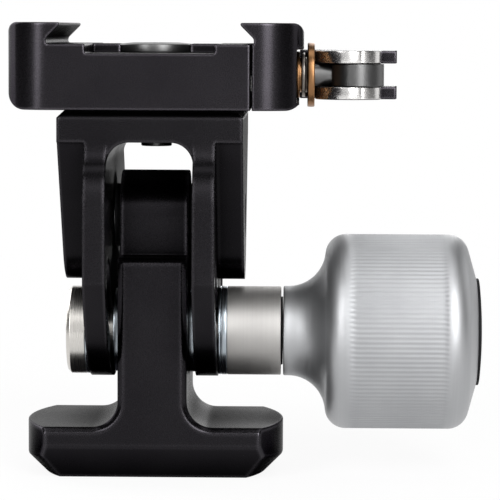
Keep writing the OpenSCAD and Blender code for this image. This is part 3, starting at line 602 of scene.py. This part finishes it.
def groove_screw(material):
    """Low domed screw with a hex socket in the clamp's groove, turned about X and then stood up along Z."""
    tip, seat, shank, rim = screw_size()
    crown = seat + SCREW_RISE
    socket = SOCKET_R * rim
    bottom = crown - SOCKET_DEPTH * SCREW_RISE
    body = [(tip, 0), (tip, shank), (seat, shank), (seat, rim), (crown - DOME_DROP, rim)]
    dome = [(crown, DOME_R * rim), (crown, socket), (bottom, socket), (bottom, 0)]

    def six_sided(x, r, turn):
        if r > socket or x < seat:
            return r
        return r / math.cos(turn % (math.pi / 3) - math.pi / 6)

    piece = lathe("clamp_screw_turned", rounded(body + dome, SCREW_EDGE), 0, SCREW_SIDES, six_sided)
    piece.data.transform(Matrix.Rotation(-math.pi / 2, 4, "Y"))
    stand_for(piece, "clamp_screw", material)


def polish_cam(material):
    """Gives the lever's curved cam walls their bare polished metal."""
    piece = NODES["cam_lever"]
    piece.data.materials.append(material)
    for face in piece.data.polygons:
        out = face.center - Vector((CAM_PIN_X, 0, STUD_Z))
        if abs(face.normal.z) < UPRIGHT and out.x < CAM_RIGHT and out.y < CAM_BEHIND:
            face.material_index = 1


def make_pieces(look):
    """Dresses every node of the object."""
    ring("spacer_sleeve", look["sleeve"])
    for node in ("thrust_ring", "thrust_washer", "cap_washer", "friction_washer_left",
                 "friction_washer_right", "stop_washer"):
        ring(node, look["washer"])
    ring("slip_washer", look["plastic"], SLIP_EDGE)
    ring("bronze_washer", look["bronze"], WASHER_EDGE)
    soften("yoke", look["yoke"], NO_BEVEL)
    soften("base_column", look["base"], BLOCK_EDGE)
    for node in ("clamp_body", "moving_jaw"):
        soften(node, look["clamp"], BLOCK_EDGE)
    soften("cam_lever", look["clamp"], LEVER_EDGE)
    polish_cam(look["cam"])
    knob(look["knob"])
    soften("clamp_bolt", look["cap"], STEEL_EDGE)
    soften("knob_end_cap", look["plastic"], BUSH_EDGE)
    for node in ("pivot_screws", "draw_stud"):
        soften(node, look["dark"], STEEL_EDGE)
    groove_screw(look["dark"])
    for node in ("jaw_bush", "knob_insert"):
        soften(node, look["bronze"], BUSH_EDGE)
    for node in ("pivot_bush_left", "pivot_bush_right"):
        soften(node, look["plastic"], BUSH_EDGE)
    soften("seat_ring", look["ring"], BUSH_EDGE)
    for node in ("thread_insert", "stop_screw", "pivot_pin", "clamp_dowels", "guide_rods", "cam_pin"):
        soften(node, look["steel"], STEEL_EDGE)
    soften("jaw_springs", look["steel"], NO_BEVEL)


# Stage

def make_camera():
    """Camera at the photograph's place: a long lens in front, level with the clamp."""
    data = bpy.data.cameras.new("camera")
    data.lens = LENS
    data.sensor_width = SENSOR
    data.clip_start, data.clip_end = CLIP
    camera = bpy.data.objects.new("camera", data)
    bpy.context.scene.collection.objects.link(camera)
    camera.location = CAMERA_AT
    aim = Euler((math.radians(90 - CAMERA_DOWN), 0, math.radians(CAMERA_LEFT))).to_quaternion()
    camera.rotation_mode = "QUATERNION"
    camera.rotation_quaternion = aim @ Quaternion((0, 0, 1), math.radians(CAMERA_ROLL))
    bpy.context.scene.camera = camera


def softbox(name, place_at, size, radiance):
    """Rectangular lamp of an even radiance that faces the object's middle."""
    data = bpy.data.lights.new(name, "AREA")
    data.shape = "RECTANGLE"
    data.size, data.size_y = size
    data.energy = radiance * math.pi * size[0] * size[1]
    lamp = bpy.data.objects.new(name, data)
    bpy.context.scene.collection.objects.link(lamp)
    lamp.location = place_at
    lamp.rotation_mode = "QUATERNION"
    lamp.rotation_quaternion = (Vector(LAMP_AIM) - Vector(place_at)).to_track_quat("-Z", "Y")
    lamp.visible_camera = False


def make_lights():
    """Softboxes round the object."""
    for name, (place_at, size, radiance) in LAMPS.items():
        softbox(name, place_at, size, radiance)


def make_world():
    """White to the camera. In metal and as light: white behind, dark sides and a softly lit front."""
    world = bpy.data.worlds.new("studio")
    bpy.context.scene.world = world
    world.use_nodes = True
    tree = world.node_tree
    direction = parts_of(tree, tree.nodes.new("ShaderNodeTexCoord").outputs["Generated"])
    ramp = tree.nodes.new("ShaderNodeValToRGB")
    tree.links.new(ramp_along(tree, direction["Y"], -1, 1, 0, 1, "LINEAR"), ramp.inputs["Fac"])
    stops = ramp.color_ramp.elements
    while len(stops) < len(STUDIO):
        stops.new(0.5)
    for stop, (position, level) in zip(stops, STUDIO):
        stop.position = position
        stop.color = (*grey(level), 1)
    path = tree.nodes.new("ShaderNodeLightPath")
    shown = turned_to(tree, ramp.outputs["Color"], WHITE, path.outputs["Is Camera Ray"])
    tree.links.new(shown, tree.nodes["Background"].inputs["Color"])


def seen_share(tree, mirrored):
    """1 for rays from the camera, a given share for rays off metal and glass, 0 for the rest."""
    path = tree.nodes.new("ShaderNodeLightPath")
    total = path.outputs["Is Camera Ray"]
    for ray in ("Is Glossy Ray", "Is Transmission Ray"):
        total = combine(tree, "MAXIMUM", total, combine(tree, "MULTIPLY", path.outputs[ray], mirrored))
    return total


def floor_material():
    """Pale floor that shows white to the camera and in metal, and keeps the object's shadow.

    In metal its glow fades out in front of the object, and is fainter far from it.
    """
    material, tree, shader = material_of("pale_floor", Base_Color=(*grey(FLOOR_TONE), 1),
                                         Roughness=FLOOR_ROUGH)
    glow = tree.nodes.new("ShaderNodeEmission")
    glow.inputs["Strength"].default_value = FLOOR_GLOW
    distance = length_of(tree, place(tree))
    behind = ramp_along(tree, parts_of(tree, place(tree))["Y"], *FRONT_FADE, 0, 1)
    close = ramp_along(tree, distance, *NEAR_FADE, 1, FAR_SHARE)
    seen = seen_share(tree, combine(tree, "MULTIPLY", behind, close))
    whole = ramp_along(tree, distance, *SHADOW_FADE, SHADOW_GLOW, 1)
    mix = tree.nodes.new("ShaderNodeMixShader")
    tree.links.new(combine(tree, "MULTIPLY", seen, whole), mix.inputs["Fac"])
    tree.links.new(shader.outputs["BSDF"], mix.inputs[1])
    tree.links.new(glow.outputs["Emission"], mix.inputs[2])
    tree.links.new(mix.outputs["Shader"], tree.nodes["Material Output"].inputs["Surface"])
    return material


def make_floor():
    """Flat floor under the object."""
    half = FLOOR_HALF
    mesh = bpy.data.meshes.new("floor")
    corners = [(-half, -half, 0), (half, -half, 0), (half, half, 0), (-half, half, 0)]
    mesh.from_pydata(corners, [], [(0, 1, 2, 3)])
    mesh.materials.append(floor_material())
    floor = bpy.data.objects.new("floor", mesh)
    bpy.context.scene.collection.objects.link(floor)


make_pieces(make_materials())
make_camera()
make_lights()
make_world()
make_floor()
bpy.context.scene.view_settings.view_transform = "Standard"
